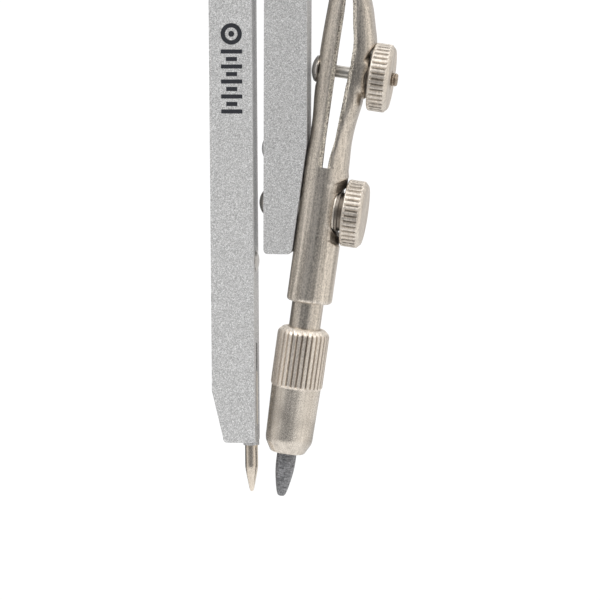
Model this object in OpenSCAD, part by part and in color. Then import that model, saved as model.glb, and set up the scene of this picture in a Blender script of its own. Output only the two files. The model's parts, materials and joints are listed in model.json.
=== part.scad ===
// Drafting compass with a geared head, a needle leg and a lead leg that carries a turn-about
// insert: a 2 mm lead chuck at one end and a ruling pen at the other. Millimetres.
// The origin is the centre of the handle grip, +Z up the handle, +X towards the lead leg.

/* [Legs] */
// Height of the hinge line above the needle's point
reach = 120; // [115:1:125]
// Width of a leg, across the plane in which the legs swing
leg_w = 4.65; // [4.5:0.05:4.8]
// Depth of a leg, front to back
leg_d = 3.5; // [3.3:0.1:3.6]
// Angle by which each closed leg leans in towards the other
leg_lean = 0.27; // [0.2:0.01:0.3]
// Height of the needle leg's lower end above the needle's point
needle_leg_end = 5.5; // [5:0.1:6]
// Height of the lead leg's lower end above the needle's point
lead_leg_end = 25.95; // [25.5:0.05:26.3]

/* [Head] */
// Distance between the two hinge pins, which is the gears' centre distance
pin_gap = 6.6; // [6.5:0.1:6.7]
// Number of teeth that a whole gear of this pitch would have
gear_teeth = 12; // [12:1:12]
// Thickness of the folded yoke
yoke_t = 1.0; // [0.8:0.1:1.2]
// Height of the handle grip's centre above the hinge line
grip_rise = 19; // [18.5:0.5:20]
// Diameter of the handle grip
grip_d = 6.5; // [6:0.1:7]
// Length of the handle grip's straight part
grip_l = 12; // [11:0.5:12]

/* [Needle] */
// Diameter of the needle
needle_d = 1.4; // [1.3:0.05:1.4]
// Diameter of the needle's stem, above its shoulder
needle_stem_d = 1.0; // [0.9:0.05:1.0]
// Distance of the needle's axis from the leg's inner face
needle_inset = 0.66; // [0.66:0.01:0.68]

/* [Insert] */
// Angle between the insert and the lead leg
insert_lean = 7.8; // [7.6:0.1:7.8]
// Height of the insert's pivot above the needle's point
pivot_height = 30.75; // [30.7:0.05:30.8]
// Outside diameter of the rolled tube
tube_d = 5.1; // [5:0.05:5.1]
// Wall thickness of the rolled tube and the pen's blades
sheet_t = 0.55; // [0.5:0.05:0.55]
// Distance from the pivot to the lead's tip, and to the pen's tips
insert_reach = 31.45; // [31.4:0.05:31.5]
// Height of the ruling pen's adjusting screw above the pivot
pen_screw_height = 14.85; // [14.75:0.05:14.95]

/* [Chuck] */
// Diameter of the lead
lead_d = 2.1; // [2:0.05:2.1]
// Length of the lead
lead_l = 21; // [20:0.5:21]
// Diameter of the chuck's shank
shank_d = 3.4; // [3.3:0.05:3.4]
// Diameter over the knurl of the chuck cap
cap_d = 5.6; // [5.5:0.05:5.6]

/* [Nuts] */
// Diameter over the knurl of the clamp nut
clamp_nut_d = 7.2; // [6.9:0.1:7.2]
// Diameter over the knurl of the pen's adjusting nut
pen_nut_d = 7.3; // [7:0.1:7.3]
// Thickness of both nuts' rims
nut_t = 2.15; // [2.1:0.05:2.2]

/* [Hidden] */
$fn = 48;

silver_paint = [0.74, 0.74, 0.73];
nickel = [0.70, 0.66, 0.61];
steel = [0.80, 0.76, 0.70];
graphite = [0.36, 0.36, 0.37];

hair = 0.03;            // running clearance between parts that turn or slide
fit = 0.02;             // clearance of a fixed pin in its hole
cut = 1;                // how far a cutting shape runs past what it cuts
over = 0.01;            // how far a profile stands outside the knurl's crests

// Head
hinge_z = -grip_rise;
pin_x = pin_gap / 2;
washer_t = 0.3;
cheek_y = leg_d / 2 + hair + washer_t;
pin_r = 1.2;
washer_r = 2.1;
tooth_module = pin_gap / gear_teeth;
pressure_angle = 25;
addendum = 0.75 * tooth_module;
dedendum = 1.0 * tooth_module;
backlash = 0.08;
root_r = pin_x - dedendum;
tip_r = pin_x + addendum;
tooth_step = 360 / gear_teeth;
tooth_sink = 0.3;       // how far a tooth's root runs into the head
head_gap = 0.1;         // between the two heads' round parts
head_r = pin_x - head_gap / 2;
cheek_r = 3.9;
bridge_z = hinge_z + 6.2;
bridge_t = yoke_t + 0.2;
stem_r = 1.5;
screw_head_r = 2.2;
screw_head_t = 1.1;
screw_head_edge = 0.7;  // height of the straight edge of a pivot screw's head
screw_head_chamfer = 0.3;
screw_slot_w = 0.5;
screw_slot_depth = 0.55;
screw_turn = 25;        // angle of each pivot screw's slot
pivot_nut_r = 2.1;
pivot_nut_t = 1.2;
nut_slot_depth = 0.5;
stem_nut_r = 2.4;
stem_nut_t = 1.6;
stem_end = 0.3;         // how far the stem stands out below its nut
stem_short = 2;         // how far the stem stops below the end of the grip's straight part
flange_r = 3.6;
flange_t = 1.0;
flange_slope = 0.5;     // height of the slope from the flange to the neck
neck_r = 2.1;
neck_flare = 0.6;
grip_r = grip_d / 2;
grip_crown = 1.2;       // rise of the grip's rounded top
grip_round = 0.9;       // radius of the grip's upper edge
grip_chamfer = 0.4;

// Needle leg, in its own frame: origin on its hinge pin, +X outwards, +Z up the leg
needle_x = -leg_w / 2 + needle_inset;
needle_leg_low = needle_leg_end - reach;
taper_start = 11.1 - reach;
taper_angle = 11.8;
needle_shoulder = 13 - reach;
needle_top = 23.2 - reach;
bore_step = 16.2 - reach;
lip_top = 7.3 - reach;
lip_drop = 0.4;
lip_r = 0.86;
needle_cone_l = 2.5;
shoulder_l = 0.3;       // length of the slope from the needle's body to its stem
stop_rivet_z = 25.05 - reach;
stop_rivet_r = 0.6;
rivet_head_r = 1.15;
rivet_head_t = 0.35;
rivet_rim = 0.08;       // straight edge of a rivet's domed head
rivet_short = 0.9;      // how far a rivet's blind shaft stops short of the leg's outer face
rivet_hole_short = 0.8;
corner_r = 0.45;

// Lead leg and the insert's seat, in the lead leg's own frame
pivot_z = pivot_height - reach;
pivot_x = 3.66;
lead_leg_low = lead_leg_end - reach;
seat_depth = 2.28;
lead_rivet_z = 37.2 - reach;
lead_rivet_head_t = 0.43;
bolt_r = 1.2;
bolt_head_r = 1.5;
bolt_head_t = 0.35;
bolt_dome_t = 0.68;
bolt_short = 0.3;       // how far the bolt's end lies inside the nut
nut_cap = 0.25;         // thickness of the clamp nut's closed outer face
bolt_hole_gap = 0.06;   // clearance of the bolt in the tube, which swivels on it
seat_chamfer = 0.6;     // height of the chamfer below the seat
bolt_sink = 5.68;       // distance from the insert's axis to the underside of the bolt's head

// Insert, in its own frame: origin on its pivot, +X outwards along the clamp bolt, +Z to the pen
tube_r = tube_d / 2;
tube_hollow_r = tube_r - sheet_t;
flat_x = -2.25;         // flat of the tube that lies on the leg's seat
tube_low = -10.1;
slot_low = 4.6;         // where the tube parts into the two blades
slot_x = -0.27;         // edge of the straight blade on the slot
dimple_x = 1.55;        // floor of the pressed dimple under the clamp washer
dimple_r = 3.85;
dimple_low = -4.45;     // where the tube's hollow narrows behind the dimple
clamp_washer_r = 2.3;
clamp_washer_t = 0.2;
hub_r = 2.2;
clamp_rim_x = 2.77;     // inner side of the clamp nut's rim
rim_chamfer = 0.3;
pen_rim_x = 3.32;       // inner side of the pen nut's rim
pen_dimple_x = 2.6;
pen_dimple_r = 3.3;
pen_washer_r = 1.9;
stack_gap = 0.01;       // between a washer and the face it lies on
washer_gap = 0.03;      // between a washer's seat and its nut, over the washer's thickness
pen_shaft_r = 0.65;
pen_head_r = 1.47;
pen_head_t = 0.3;
pen_dome_t = 0.5;
pen_screw_end = 6.0;
pen_clearance = 0.16;   // clearance of the washer and the nut, which tilt with the bowed blade
pen_blade_gap = 0.35;   // clearance of the screw in the bowed blade
seat_gap = 0.02;        // between the pen screw's head and its spot face
thin_share = 0.45;      // thickest wall of a blade, as a share of its section
skew_share = 0.35;      // most that the straight blade is cut back, as a share of its section
knurl_teeth = 40;
knurl_depth = 0.22;

// Chuck, in the insert's frame
shank_top = -4.7;
shank_low = -20.45;
shank_collar_low = -6.4;
lead_gap = 0.06;        // clearance of the lead in the shank
shank_bore_r = lead_d / 2 + lead_gap;
shank_bore_short = 1;   // solid part at the shank's top
collar_gap = 0.01;
rim_r = shank_d / 2 + collar_gap;
cap_top = -12.95;
cap_top_slope = 0.5;
cap_top_chamfer = 0.6;
cap_edge = 0.15;
knurl_low = -19.25;
nose_low = -26.65;
nose_r = 2.68;
nose_low_r = 2.55;
nose_chamfer = 1.4;
nose_tip_r = 1.85;
nose_hole_r = 1.17;
cap_hollow_r = 2.0;
cap_cone_top = -24.45;  // the cap's inner cone, which closes on the collet
cap_cone_low = -26.05;
collet_r = 1.95;
collet_low_r = 1.3;
finger_split = 0.35;
finger_root = 0.9;      // solid ring above the collet's fingers
cap_knurl_teeth = 32;
cap_knurl_depth = 0.2;
collet_top = shank_low - 0.06;
collet_low = -25.75;
lead_tip_r = 0.35;
lead_point_l = 3;

// Stations of the pen's two blades: height, outer x, inner x, half width
bowed_stations = [[4.7, 2.3, 0.45, 2.42], [7.35, 2.3, 0.7, 2.42], [9.45, 2.42, 0.82, 2.42],
                  [11.65, 2.75, 0.95, 2.42], [14.55, 3.15, 1.1, 2.4], [16.55, 3.42, 1.24, 2.36],
                  [18.35, 3.44, 1.22, 2.3], [20.35, 2.98, 0.86, 2.2], [22.25, 2.46, 0.56, 2.05],
                  [25.2, 1.3, -0.1, 1.6], [28.3, 0.05, -0.75, 0.95], [31.45, -1.0, -1.28, 0.4]];
straight_stations = [[4.55, flat_x, -0.2, 2.47], [9.55, flat_x, slot_x, 2.45], [12.55, -2.45, slot_x, 2.42],
                     [17.55, -2.45, slot_x, 2.35], [22.45, flat_x, slot_x, 2.05], [25.2, -2.1, -0.6, 1.6],
                     [28.3, -1.86, -1.05, 0.95], [31.45, -1.75, -1.5, 0.4]];
section_steps = 8;
slot_skew = 0.7;        // how much further back the straight blade is cut at the rear than at the front

function arc(x, y, r, from, to, steps) =
    [for (i = [0:steps]) let (a = from + (to - from) * i / steps) [x + r * cos(a), y + r * sin(a)]];

// Involute gear tooth, pointing along +X
base_r = pin_x * cos(pressure_angle);
function roll_angle(r) = sqrt(max(0, r * r / (base_r * base_r) - 1)) * 180 / PI;
function involute_angle(r) = roll_angle(r) - atan(roll_angle(r) * PI / 180);
half_tooth = 90 / gear_teeth - backlash / pin_x * 90 / PI;
function flank_angle(r) = half_tooth + involute_angle(pin_x) - involute_angle(max(r, base_r));
function flank(r) = [r * cos(flank_angle(r)), r * sin(flank_angle(r))];
flank_steps = 5;
flank_r = [for (i = [0:flank_steps]) base_r + (tip_r - base_r) * i / flank_steps];
tooth_root = root_r - tooth_sink;
tooth_outline = concat([[tooth_root * cos(flank_angle(base_r)), -tooth_root * sin(flank_angle(base_r))]],
                       [for (r = flank_r) [flank(r)[0], -flank(r)[1]]],
                       [for (i = [flank_steps:-1:0]) flank(flank_r[i])],
                       [[tooth_root * cos(flank_angle(base_r)), tooth_root * sin(flank_angle(base_r))]]);

// A ring of straight knurling, as an outline
function knurl(r, depth, count) =
    [for (i = [0:2 * count - 1]) let (a = 180 * i / count, d = (i % 2 == 0) ? 0 : depth)
        [(r - d) * cos(a), (r - d) * sin(a)]];

// Placing
module on_needle_leg() {
    translate([-pin_x, 0, hinge_z]) rotate([0, -leg_lean, 0]) mirror([1, 0, 0]) children();
}
module on_lead_leg() {
    translate([pin_x, 0, hinge_z]) rotate([0, leg_lean, 0]) children();
}
module on_insert() {
    on_lead_leg() translate([pivot_x, 0, pivot_z]) rotate([0, insert_lean, 0]) children();
}
// Along +X in the insert's frame, which is along the clamp bolt and the pen's screw
module along_x(x, z = 0) {
    translate([x, 0, z]) rotate([0, 90, 0]) children();
}
module upright_plate(depth) {
    rotate([90, 0, 0]) translate([0, 0, -depth / 2]) linear_extrude(depth) children();
}
module dome(r, rim, rise) {
    cylinder(r = r, h = rim);
    sphere_r = (r * r + rise * rise) / (2 * rise);
    translate([0, 0, rim]) intersection() {
        translate([0, 0, rise - sphere_r]) sphere(r = sphere_r);
        cylinder(r = r, h = rise);
    }
}

// A leg's geared head: the pitch circle's disc outside, teeth on the inner and upper side
module geared_head(first_tooth, last_tooth, phase) {
    circle(r = root_r);
    intersection() {
        circle(r = head_r);
        translate([0, -head_r]) square([head_r, 2 * head_r]);
    }
    for (i = [first_tooth:last_tooth])
        rotate(180 - phase - i * tooth_step) polygon(tooth_outline);
}

// Head
module yoke() {
    color(nickel) difference() {
        union() {
            for (side = [-1, 1])
                translate([0, side * (cheek_y + yoke_t / 2), 0]) upright_plate(yoke_t) yoke_cheek();
            translate([-pin_x - cheek_r, -cheek_y - yoke_t, bridge_z])
                cube([2 * (pin_x + cheek_r), 2 * (cheek_y + yoke_t), bridge_t]);
        }
        for (side = [-1, 1])
            translate([side * pin_x, 0, hinge_z]) rotate([90, 0, 0])
                cylinder(r = pin_r + fit, h = 4 * cheek_y, center = true);
        translate([0, 0, bridge_z - cut]) cylinder(r = stem_r + fit, h = yoke_t + 2 * cut);
    }
}
module yoke_cheek() {
    for (side = [-1, 1]) translate([side * pin_x, hinge_z]) circle(r = cheek_r);
    translate([-pin_x - cheek_r, hinge_z]) square([2 * (pin_x + cheek_r), bridge_z - hinge_z + bridge_t / 2]);
    translate([-pin_x, hinge_z - cheek_r]) square([pin_gap, cheek_r]);
}

grip_low = -grip_l / 2;
bridge_top = bridge_z + bridge_t;
stem_low = bridge_z - stem_nut_t - stem_end;
stem_top = grip_l / 2 - stem_short;
neck_low = bridge_top + flange_t + flange_slope;
module handle_stem() {
    color(nickel) translate([0, 0, stem_low]) cylinder(r = stem_r, h = stem_top - stem_low);
}
module handle_grip() {
    color(nickel) difference() {
        rotate_extrude() polygon(concat(
            [[0, bridge_top], [flange_r, bridge_top], [flange_r, bridge_top + flange_t]],
            [[neck_r + neck_flare, neck_low], [neck_r, neck_low + neck_flare]],
            [[neck_r, grip_low - 2 * grip_chamfer], [grip_r - grip_chamfer, grip_low - grip_chamfer]],
            [[grip_r, grip_low], [grip_r, -grip_low]],
            arc(grip_r - grip_round, -grip_low, grip_round, 0, 90, 6),
            [[0, -grip_low + grip_crown]]));
        translate([0, 0, bridge_top - cut]) cylinder(r = stem_r + fit, h = stem_top + fit - bridge_top + cut);
    }
}
module handle_nut() {
    color(nickel) translate([0, 0, bridge_z - stem_nut_t]) difference() {
        cylinder(r = stem_nut_r, h = stem_nut_t, $fn = 6);
        translate([0, 0, -cut]) cylinder(r = stem_r + fit, h = stem_nut_t + 2 * cut);
    }
}

screw_end_y = cheek_y + yoke_t + pivot_nut_t;
module pivot_screw(side) {
    color(nickel) translate([side * pin_x, 0, hinge_z]) rotate([90, 0, 0]) difference() {
        union() {
            translate([0, 0, -screw_end_y]) cylinder(r = pin_r, h = screw_end_y + cheek_y + yoke_t);
            translate([0, 0, cheek_y + yoke_t]) rotate_extrude() polygon([[0, 0], [screw_head_r, 0],
                [screw_head_r, screw_head_edge], [screw_head_r - screw_head_chamfer, screw_head_t],
                [0, screw_head_t]]);
        }
        translate([0, 0, cheek_y + yoke_t + screw_head_t]) rotate(side * screw_turn)
            cube([3 * screw_head_r, screw_slot_w, 2 * screw_slot_depth], center = true);
    }
}
module left_pivot_screw() { pivot_screw(-1); }
module right_pivot_screw() { pivot_screw(1); }
module pivot_nuts() {
    color(nickel) for (side = [-1, 1])
        translate([side * pin_x, cheek_y + yoke_t, hinge_z]) rotate([-90, 0, 0]) difference() {
            cylinder(r = pivot_nut_r, h = pivot_nut_t);
            translate([0, 0, -cut]) cylinder(r = pin_r + fit, h = pivot_nut_t + 2 * cut);
            translate([0, 0, pivot_nut_t])
                cube([3 * pivot_nut_r, screw_slot_w, 2 * nut_slot_depth], center = true);
        }
}
module friction_washers() {
    color(steel) for (side = [-1, 1], face = [-1, 1])
        translate([side * pin_x, face * (cheek_y - washer_t / 2), hinge_z]) rotate([90, 0, 0]) difference() {
            cylinder(r = washer_r, h = washer_t, center = true);
            cylinder(r = pin_r + fit, h = washer_t + cut, center = true);
        }
}

// Needle leg
leg_half = leg_w / 2;
taper_foot = leg_half - tan(taper_angle) * (taper_start - needle_leg_low);
module needle_leg_outline() {
    polygon(concat([[-leg_half, 0], [-leg_half, needle_leg_low]],
                   arc(taper_foot - corner_r, needle_leg_low + corner_r, corner_r, -90, taper_angle, 5),
                   [[leg_half, taper_start], [leg_half, 0]]));
}
module needle_leg() {
    color(silver_paint) on_needle_leg() difference() {
        union() {
            upright_plate(leg_d) {
                needle_leg_outline();
                geared_head(-1, 3, 0);
            }
            translate([needle_x, 0, needle_leg_low - lip_drop])
                cylinder(r = lip_r, h = lip_top - needle_leg_low + lip_drop);
        }
        rotate([90, 0, 0]) cylinder(r = pin_r + hair, h = leg_d + cut, center = true);
        translate([needle_x, 0, needle_leg_low - cut])
            cylinder(r = needle_d / 2 + hair, h = bore_step - needle_leg_low + cut);
        translate([needle_x, 0, bore_step - hair])
            cylinder(r = needle_stem_d / 2 + hair, h = stop_rivet_z - bore_step);
        translate([-leg_half - cut, 0, stop_rivet_z]) rotate([0, 90, 0])
            cylinder(r = stop_rivet_r + fit, h = leg_w + cut - rivet_hole_short);
    }
}
module needle() {
    color(steel) on_needle_leg() translate([needle_x, 0, 0]) rotate_extrude() polygon([
        [0, -reach], [needle_d / 2, -reach + needle_cone_l], [needle_d / 2, needle_shoulder],
        [needle_stem_d / 2, needle_shoulder + shoulder_l], [needle_stem_d / 2, needle_top], [0, needle_top]]);
}
module needle_stop_rivet() {
    color(nickel) on_needle_leg() translate([-leg_half, 0, stop_rivet_z]) {
        rotate([0, 90, 0]) cylinder(r = stop_rivet_r, h = leg_w - rivet_short);
        rotate([0, -90, 0]) dome(rivet_head_r, rivet_rim, rivet_head_t - rivet_rim);
    }
}

// Lead leg
seat_foot = [pivot_x - seat_depth * cos(insert_lean), pivot_z + seat_depth * sin(insert_lean)];
function seat_x(z) = seat_foot[0] + (z - seat_foot[1]) * tan(insert_lean);
seat_start = seat_foot[1] + (leg_half - seat_foot[0]) / tan(insert_lean);
module lead_leg_outline() {
    polygon(concat([[-leg_half, 0]],
                   arc(-leg_half + corner_r, lead_leg_low + corner_r, corner_r, 180, 270, 5),
                   arc(seat_x(lead_leg_low) - corner_r, lead_leg_low + corner_r, corner_r,
                       -90, -insert_lean, 5),
                   [[seat_x(lead_leg_low + seat_chamfer), lead_leg_low + seat_chamfer]],
                   [[leg_half, seat_start], [leg_half, 0]]));
}
module lead_leg() {
    color(silver_paint) on_lead_leg() difference() {
        upright_plate(leg_d) {
            lead_leg_outline();
            geared_head(0, 3, -tooth_step / 2);
        }
        rotate([90, 0, 0]) cylinder(r = pin_r + hair, h = leg_d + cut, center = true);
        translate([pivot_x, 0, pivot_z]) rotate([0, insert_lean, 0]) {
            along_x(-2 * leg_w) cylinder(r = bolt_r + fit, h = 2 * leg_w);
            along_x(-2 * leg_w) cylinder(r = bolt_head_r + 0.03, h = 2 * leg_w - bolt_sink);
        }
        translate([-leg_half - cut, 0, lead_rivet_z]) rotate([0, 90, 0])
            cylinder(r = stop_rivet_r + fit, h = leg_w + cut - rivet_hole_short);
    }
}
module lead_leg_rivet() {
    color(silver_paint) on_lead_leg() translate([-leg_half, 0, lead_rivet_z]) {
        rotate([0, 90, 0]) cylinder(r = stop_rivet_r, h = leg_w - rivet_short);
        rotate([0, -90, 0]) dome(rivet_head_r, rivet_rim, lead_rivet_head_t - rivet_rim);
    }
}

// Clamp
module clamp_bolt() {
    color(nickel) on_insert() {
        along_x(-bolt_sink) cylinder(r = bolt_r, h = bolt_sink + clamp_rim_x + nut_t - bolt_short);
        along_x(-bolt_sink) rotate([180, 0, 0]) dome(bolt_head_r, bolt_head_t, bolt_dome_t);
    }
}
module washer(x, z, r, bore_r) {
    along_x(x, z) difference() {
        cylinder(r = r, h = clamp_washer_t);
        translate([0, 0, -cut]) cylinder(r = bore_r, h = clamp_washer_t + 2 * cut);
    }
}
module clamp_washer() {
    color(nickel) on_insert() washer(dimple_x + stack_gap, 0, clamp_washer_r, bolt_r + hair);
}
module knurled_nut(hub_x, rim_x, z, d, bore_r, bore_end) {
    r = d / 2;
    along_x(0, z) difference() {
        union() {
            translate([0, 0, hub_x]) cylinder(r = hub_r, h = rim_x - hub_x + rim_chamfer);
            intersection() {
                translate([0, 0, rim_x]) linear_extrude(nut_t) polygon(knurl(r, knurl_depth, knurl_teeth));
                translate([0, 0, rim_x]) rotate_extrude() polygon([[0, 0], [r - rim_chamfer, 0],
                    [r + over, rim_chamfer], [r + over, nut_t - rim_chamfer],
                    [r - rim_chamfer, nut_t], [0, nut_t]]);
            }
        }
        cylinder(r = bore_r, h = bore_end);
    }
}
module clamp_nut() {
    color(nickel) on_insert()
        knurled_nut(dimple_x + clamp_washer_t + washer_gap, clamp_rim_x, 0, clamp_nut_d,
            bolt_r + hair, clamp_rim_x + nut_t - nut_cap);
}

// Insert
module tube_section(r, low_x, high_x) {
    intersection() {
        circle(r = r);
        translate([low_x, -r]) square([high_x - low_x, 2 * r]);
    }
}
// A closed shell through outlines, one at each height. Each outline runs along one side of a
// strip and back along its other side, with the same number of points.
module loft(outlines, heights) {
    n = len(outlines[0]);
    last = len(outlines) - 1;
    points = [for (k = [0:last]) for (p = outlines[k]) [p[0], p[1], heights[k]]];
    walls = [for (k = [0:last - 1]) for (i = [0:n - 1]) let (j = (i + 1) % n)
        each [[k * n + i, (k + 1) * n + i, (k + 1) * n + j], [k * n + i, (k + 1) * n + j, k * n + j]]];
    floor_faces = [for (i = [0:n / 2 - 2]) each [[i, i + 1, n - 2 - i], [i, n - 2 - i, n - 1 - i]]];
    top_faces = [for (f = floor_faces) [for (i = [2:-1:0]) last * n + f[i]]];
    polyhedron(points, concat(floor_faces, walls, top_faces));
}
// Half of an ellipse across the sheet: its crown is at x = crown, its edges at x = edge
function bulge(edge, crown, half_w, skew) =
    [for (i = [0:section_steps]) let (a = -90 + 180 * i / section_steps,
                                      side_edge = edge - skew * (1 + sin(a)) / 2)
        [side_edge + (crown - side_edge) * cos(a), half_w * sin(a)]];
function reversed(list) = [for (i = [len(list) - 1:-1:0]) list[i]];
function blade_section(s, side) =
    let (skew = side > 0 ? 0 : min(slot_skew, (s[2] - s[1]) * skew_share),
         outer = bulge(s[2], s[1], s[3], skew),
         thin = min(sheet_t, abs(s[1] - s[2]) * thin_share, s[3] * thin_share),
         inner = bulge(s[2], s[1] - side * thin, s[3] - thin, skew))
    side > 0 ? concat(outer, reversed(inner)) : concat(reversed(outer), inner);
module bowed_shell() {
    loft([for (s = bowed_stations) blade_section(s, 1)], [for (s = bowed_stations) s[0]]);
}
module straight_shell() {
    loft([for (s = straight_stations) blade_section(s, -1)], [for (s = straight_stations) s[0]]);
}
module insert_tube() {
    color(nickel) on_insert() difference() {
        union() {
            translate([0, 0, tube_low]) linear_extrude(slot_low - tube_low)
                tube_section(tube_r, flat_x, tube_r);
            straight_shell();
        }
        translate([0, 0, shank_collar_low]) linear_extrude(dimple_low - shank_collar_low)
            tube_section(tube_hollow_r, flat_x + sheet_t, tube_hollow_r);
        translate([0, 0, dimple_low - fit]) linear_extrude(slot_low - dimple_low + 2 * fit)
            tube_section(tube_hollow_r, flat_x + sheet_t, dimple_x - sheet_t);
        translate([0, 0, tube_low - cut]) cylinder(r = rim_r, h = shank_collar_low - tube_low + 2 * cut);
        along_x(dimple_x) cylinder(r = dimple_r, h = tube_r);
        along_x(-tube_d) cylinder(r = bolt_r + bolt_hole_gap, h = 2 * tube_d);
        along_x(-tube_d, pen_screw_height) cylinder(r = pen_shaft_r + fit, h = tube_d);
        along_x(flat_x - tube_d, pen_screw_height) cylinder(r = pen_head_r + hair, h = tube_d);
    }
}
module bowed_blade() {
    color(nickel) on_insert() difference() {
        bowed_shell();
        along_x(0, pen_screw_height) cylinder(r = pen_shaft_r + pen_blade_gap, h = tube_d);
        along_x(pen_dimple_x, pen_screw_height) cylinder(r = pen_dimple_r, h = tube_d);
    }
}
module pen_screw() {
    color(nickel) on_insert() {
        along_x(flat_x - seat_gap, pen_screw_height) cylinder(r = pen_shaft_r, h = pen_screw_end - flat_x);
        along_x(flat_x - seat_gap, pen_screw_height) rotate([180, 0, 0])
            dome(pen_head_r, pen_head_t, pen_dome_t);
    }
}
module pen_washer() {
    color(nickel) on_insert()
        washer(pen_dimple_x + stack_gap, pen_screw_height, pen_washer_r, pen_shaft_r + pen_clearance);
}
module pen_nut() {
    color(nickel) on_insert() knurled_nut(pen_dimple_x + clamp_washer_t + washer_gap, pen_rim_x,
        pen_screw_height, pen_nut_d, pen_shaft_r + pen_clearance, pen_rim_x + nut_t + cut);
}

// Chuck
module chuck_shank() {
    color(nickel) on_insert() difference() {
        union() {
            translate([0, 0, shank_low]) cylinder(r = shank_d / 2, h = shank_top - shank_low);
            translate([0, 0, shank_collar_low + hair]) linear_extrude(shank_top - shank_collar_low - hair)
                tube_section(tube_hollow_r - hair, flat_x + sheet_t + hair, tube_hollow_r);
        }
        translate([0, 0, shank_low - cut])
            cylinder(r = shank_bore_r, h = shank_top - shank_low - shank_bore_short + cut);
    }
}
module collet() {
    collet_bore_r = lead_d / 2 + fit;
    color(steel) on_insert() difference() {
        rotate_extrude() polygon([[collet_bore_r, collet_top], [collet_r, collet_top],
            [collet_r, cap_cone_top], [collet_low_r, collet_low], [collet_bore_r, collet_low]]);
        for (turn = [0, 90]) rotate(turn)
            translate([-tube_r, -finger_split / 2, collet_low - cut])
                cube([tube_d, finger_split, collet_top - collet_low - finger_root + cut]);
    }
}
module chuck_cap() {
    r = cap_d / 2;
    color(nickel) on_insert() difference() {
        union() {
            intersection() {
                translate([0, 0, knurl_low]) linear_extrude(cap_top - knurl_low)
                    polygon(knurl(r, cap_knurl_depth, cap_knurl_teeth));
                rotate_extrude() polygon([[0, knurl_low], [r - cap_edge, knurl_low],
                    [r + over, knurl_low + cap_edge], [r + over, cap_top - cap_top_slope],
                    [r - cap_top_chamfer, cap_top], [0, cap_top]]);
            }
            rotate_extrude() polygon([[0, nose_low], [nose_tip_r, nose_low],
                [nose_low_r, nose_low + nose_chamfer], [nose_r, knurl_low + cap_edge],
                [0, knurl_low + cap_edge]]);
        }
        translate([0, 0, collet_top]) cylinder(r = shank_d / 2 + hair, h = cap_top - shank_low + cut);
        rotate_extrude() polygon([[0, nose_low - cut], [nose_hole_r, nose_low - cut],
            [nose_hole_r, cap_cone_low], [cap_hollow_r, cap_cone_top], [cap_hollow_r, shank_low],
            [0, shank_low]]);
    }
}
module lead() {
    color(graphite) on_insert() rotate_extrude() polygon([[0, -insert_reach], [lead_tip_r, -insert_reach],
        [lead_d / 2, -insert_reach + lead_point_l], [lead_d / 2, -insert_reach + lead_l],
        [0, -insert_reach + lead_l]]);
}

yoke();
handle_stem();
handle_grip();
handle_nut();
left_pivot_screw();
right_pivot_screw();
pivot_nuts();
friction_washers();
needle_leg();
needle();
needle_stop_rivet();
lead_leg();
lead_leg_rivet();
clamp_bolt();
clamp_washer();
clamp_nut();
insert_tube();
bowed_blade();
pen_screw();
pen_washer();
pen_nut();
chuck_shank();
collet();
chuck_cap();
lead();
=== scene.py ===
import json
import math

import bpy
from mathutils import Matrix, Vector


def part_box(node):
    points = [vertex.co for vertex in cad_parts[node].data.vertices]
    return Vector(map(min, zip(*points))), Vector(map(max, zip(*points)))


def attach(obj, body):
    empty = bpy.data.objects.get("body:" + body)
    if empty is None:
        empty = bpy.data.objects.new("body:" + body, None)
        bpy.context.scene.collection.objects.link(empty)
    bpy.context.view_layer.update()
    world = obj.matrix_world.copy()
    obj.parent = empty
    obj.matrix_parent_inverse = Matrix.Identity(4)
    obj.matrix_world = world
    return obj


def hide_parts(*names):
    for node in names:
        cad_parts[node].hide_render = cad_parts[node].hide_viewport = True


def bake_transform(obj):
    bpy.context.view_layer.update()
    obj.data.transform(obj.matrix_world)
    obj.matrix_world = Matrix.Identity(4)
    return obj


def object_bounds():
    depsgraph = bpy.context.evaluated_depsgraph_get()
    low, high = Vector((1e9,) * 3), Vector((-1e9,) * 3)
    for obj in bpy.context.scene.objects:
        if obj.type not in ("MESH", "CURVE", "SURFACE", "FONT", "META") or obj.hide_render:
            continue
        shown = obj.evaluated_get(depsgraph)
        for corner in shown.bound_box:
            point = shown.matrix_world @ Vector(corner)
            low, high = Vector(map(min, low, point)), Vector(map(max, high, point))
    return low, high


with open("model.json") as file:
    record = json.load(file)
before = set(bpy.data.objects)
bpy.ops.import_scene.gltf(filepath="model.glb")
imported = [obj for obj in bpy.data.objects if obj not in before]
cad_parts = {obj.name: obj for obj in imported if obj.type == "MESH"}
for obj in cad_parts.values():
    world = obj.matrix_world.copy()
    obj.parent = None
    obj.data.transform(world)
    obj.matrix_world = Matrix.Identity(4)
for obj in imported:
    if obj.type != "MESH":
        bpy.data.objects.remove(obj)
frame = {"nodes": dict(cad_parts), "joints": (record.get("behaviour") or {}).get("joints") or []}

# A drafting compass: painted legs, a nickel-plated head, and a turn-about insert with a lead chuck and
# a ruling pen. Shapes are drawn in millimetres in the frame of their own leg or insert, with Z up
# along it and X towards the insert's nuts. MM turns them into the scene's metres.
MM = 0.001
CAD_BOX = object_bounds()


# ---------------------------------------------------------------- places, from the frame

def joint(name):
    return next(j for j in frame["joints"] if j["name"] == name)


def frame_matrix(origin, x_axis):
    """A frame at origin, with its X along x_axis and its Y along the compass's own Y."""
    x = Vector(x_axis).normalized()
    y = Vector((0, 1, 0))
    z = x.cross(y).normalized()
    matrix = Matrix((x, y, z)).transposed().to_4x4()
    matrix.translation = Vector(origin)
    return matrix


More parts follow.
